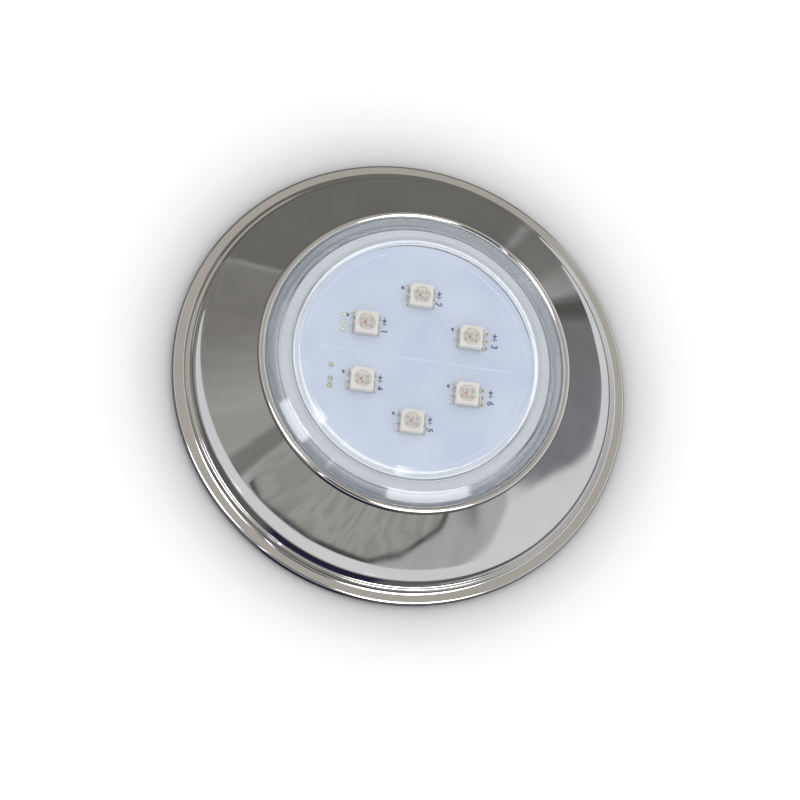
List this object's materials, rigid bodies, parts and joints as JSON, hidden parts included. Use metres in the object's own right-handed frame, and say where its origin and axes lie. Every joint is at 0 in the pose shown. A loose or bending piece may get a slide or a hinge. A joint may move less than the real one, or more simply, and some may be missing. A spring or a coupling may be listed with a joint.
{
  "type": "underwater pool light",
  "caption": "Round surface-mounted underwater pool light: polished bell trim over a bayonet lamp capsule with a clear lens and an LED board.",
  "frame": {"origin": "on the lamp's axis in the wall plane that the base is screwed to, at the bottom centre of the object as it lies on its back", "axes": "+Z out of the wall along the lamp's axis, towards the water; +X along the LED board's rows, +Y towards the board's LED number 2"},
  "size_m": [0.1, 0.1, 0.0211],
  "materials": {
    "polished_steel": "mirror-polished stainless sheet",
    "spring_steel": "plain rolled spring steel",
    "screw_steel": "passivated stainless screws",
    "grey_plastic": "fine-textured moulded ABS",
    "white_plastic": "smooth white moulded ABS",
    "clear_lens": "polished clear polycarbonate",
    "black_rubber": "matt moulded rubber",
    "black_nylon": "moulded nylon",
    "board_white": "pale blue-white solder mask",
    "led_cream": "cream LED package",
    "component_black": "moulded black component bodies",
    "aluminium_can": "plain aluminium can"
  },
  "bodies": {
    "wall_mount": {"wall_base": "grey_plastic", "seat_gasket": "black_rubber", "trim_clip_1": "spring_steel", "trim_clip_2": "spring_steel", "trim_clip_3": "spring_steel", "clip_screw_1": "screw_steel", "clip_screw_2": "screw_steel", "clip_screw_3": "screw_steel"},
    "trim": {"trim_shell": "polished_steel"},
    "capsule": {"lamp_body": "white_plastic", "lens": "clear_lens", "lens_seal_ring": "black_rubber", "led_board": "board_white", "led_1": "led_cream", "led_2": "led_cream", "led_3": "led_cream", "led_4": "led_cream", "led_5": "led_cream", "led_6": "led_cream", "resistor_1": "component_black", "resistor_2": "component_black", "resistor_3": "component_black", "resistor_4": "component_black", "resistor_5": "component_black", "resistor_6": "component_black", "bridge_rectifier": "component_black", "smoothing_capacitor": "aluminium_can", "lead_socket": "white_plastic", "gland_body": "black_nylon", "gland_washer": "black_rubber", "gland_locknut": "black_nylon", "gland_seal": "black_rubber", "gland_slip_ring": "white_plastic"},
    "nut": {"gland_nut": "black_nylon"}
  },
  "joints": [
    {"name": "trim_pull", "type": "slide", "parent": "wall_mount", "child": "trim", "axis": [0, 0, 1], "range_m": [0, 0.04]},
    {"name": "capsule_twist", "type": "hinge", "parent": "wall_mount", "child": "capsule", "pos_m": [0, 0, 0.007], "axis": [0, 0, 1], "range_deg": [0, 25]},
    {"name": "gland_nut_turn", "type": "hinge", "parent": "capsule", "child": "nut", "pos_m": [0, 0, 0.0025], "axis": [0, 0, 1], "range_deg": [0, 192]}
  ]
}
